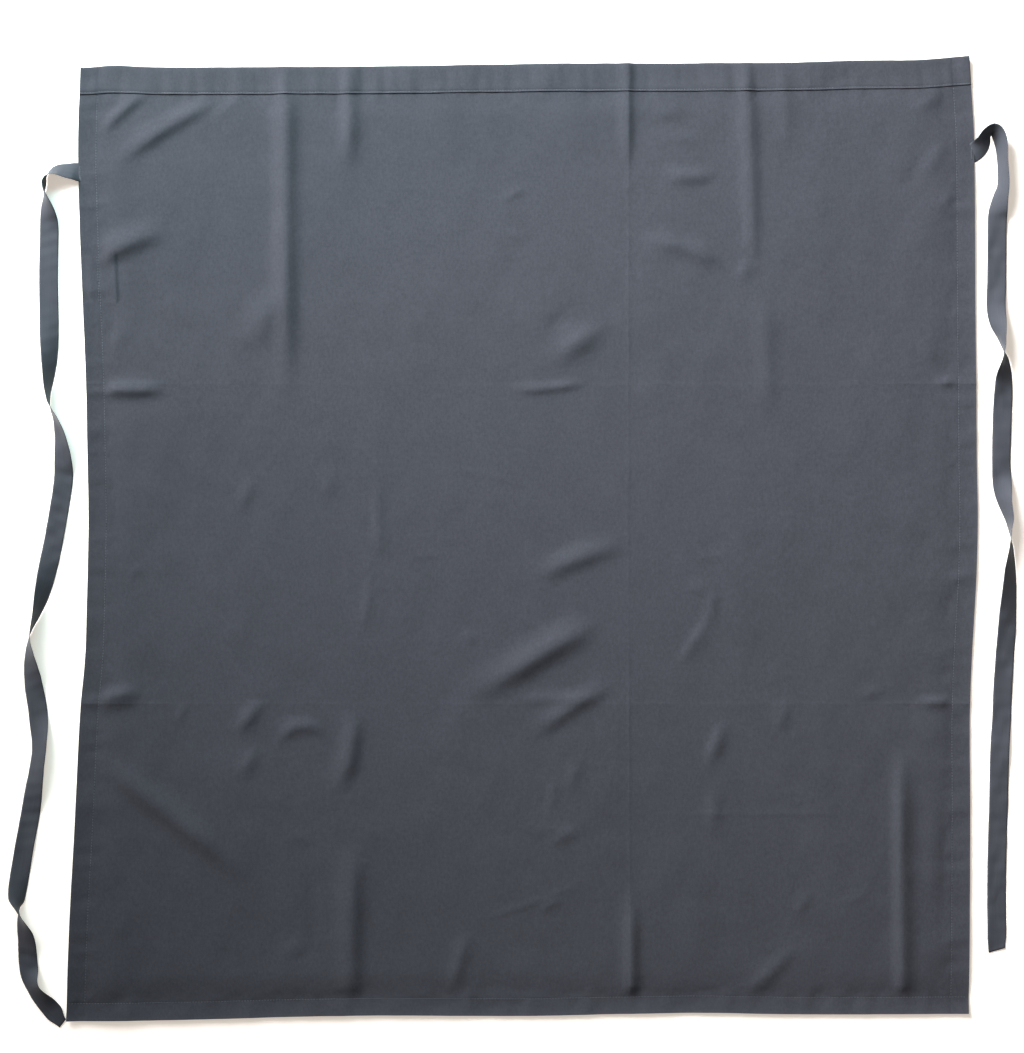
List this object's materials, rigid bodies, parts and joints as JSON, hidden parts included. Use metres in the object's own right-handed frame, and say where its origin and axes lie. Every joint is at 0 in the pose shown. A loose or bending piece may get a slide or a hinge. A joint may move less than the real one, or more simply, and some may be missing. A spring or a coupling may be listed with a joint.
{
  "type": "cloth waist apron",
  "caption": "Long flat cloth waist apron with a turned waist hem, back-turned side and bottom hems, and a free tape tie at each upper side.",
  "frame": {"origin": "centre of the apron's plan, at the height of the surface that the hems lie on", "axes": "+Y towards the waist edge, +X to the viewer's right with the front up, +Z out of the front"},
  "size_m": [1.0601, 1.0151, 0.0204],
  "materials": {
    "panel_twill": "charcoal polycotton twill, matt",
    "hem_twill": "charcoal polycotton twill, doubled and pressed",
    "tie_tape": "charcoal woven cotton tape, ribbed",
    "sewing_thread": "dark grey polyester sewing thread",
    "label_satin": "white woven label, blank"
  },
  "bodies": {
    "middle_third": {"middle_panel": "panel_twill", "left_hem_middle": "hem_twill", "right_hem_middle": "hem_twill", "left_hem_middle_stitches": "sewing_thread", "right_hem_middle_stitches": "sewing_thread"},
    "upper_third": {"upper_panel": "panel_twill", "waist_hem": "hem_twill", "waist_hem_stitches": "sewing_thread", "left_hem_upper": "hem_twill", "right_hem_upper": "hem_twill", "left_hem_upper_stitches": "sewing_thread", "right_hem_upper_stitches": "sewing_thread", "care_label": "label_satin", "care_label_stitches": "sewing_thread", "left_tie_root": "tie_tape", "right_tie_root": "tie_tape", "left_tie_tack": "sewing_thread", "right_tie_tack": "sewing_thread"},
    "lower_third": {"lower_panel": "panel_twill", "left_hem_lower": "hem_twill", "right_hem_lower": "hem_twill", "bottom_hem": "hem_twill", "left_hem_lower_stitches": "sewing_thread", "right_hem_lower_stitches": "sewing_thread", "bottom_hem_stitches": "sewing_thread"},
    "left_tie": {"left_tie": "tie_tape"},
    "right_tie": {"right_tie": "tie_tape"}
  },
  "joints": [
    {"name": "upper_fold", "type": "hinge", "parent": "middle_third", "child": "upper_third", "pos_m": [0, 0.164, 0.009], "axis": [1, 0, 0], "range_deg": [0, 180]},
    {"name": "lower_fold", "type": "hinge", "parent": "middle_third", "child": "lower_third", "pos_m": [0, -0.172, 0.0045], "axis": [-1, 0, 0], "range_deg": [0, 180]},
    {"name": "left_tie_swing", "type": "hinge", "parent": "upper_third", "child": "left_tie", "pos_m": [-0.5, 0.387, 0], "axis": [0, 0, 1], "range_deg": [-90, 0]},
    {"name": "right_tie_swing", "type": "hinge", "parent": "upper_third", "child": "right_tie", "pos_m": [0.5, 0.405, 0], "axis": [0, 0, 1], "range_deg": [0, 90]}
  ]
}
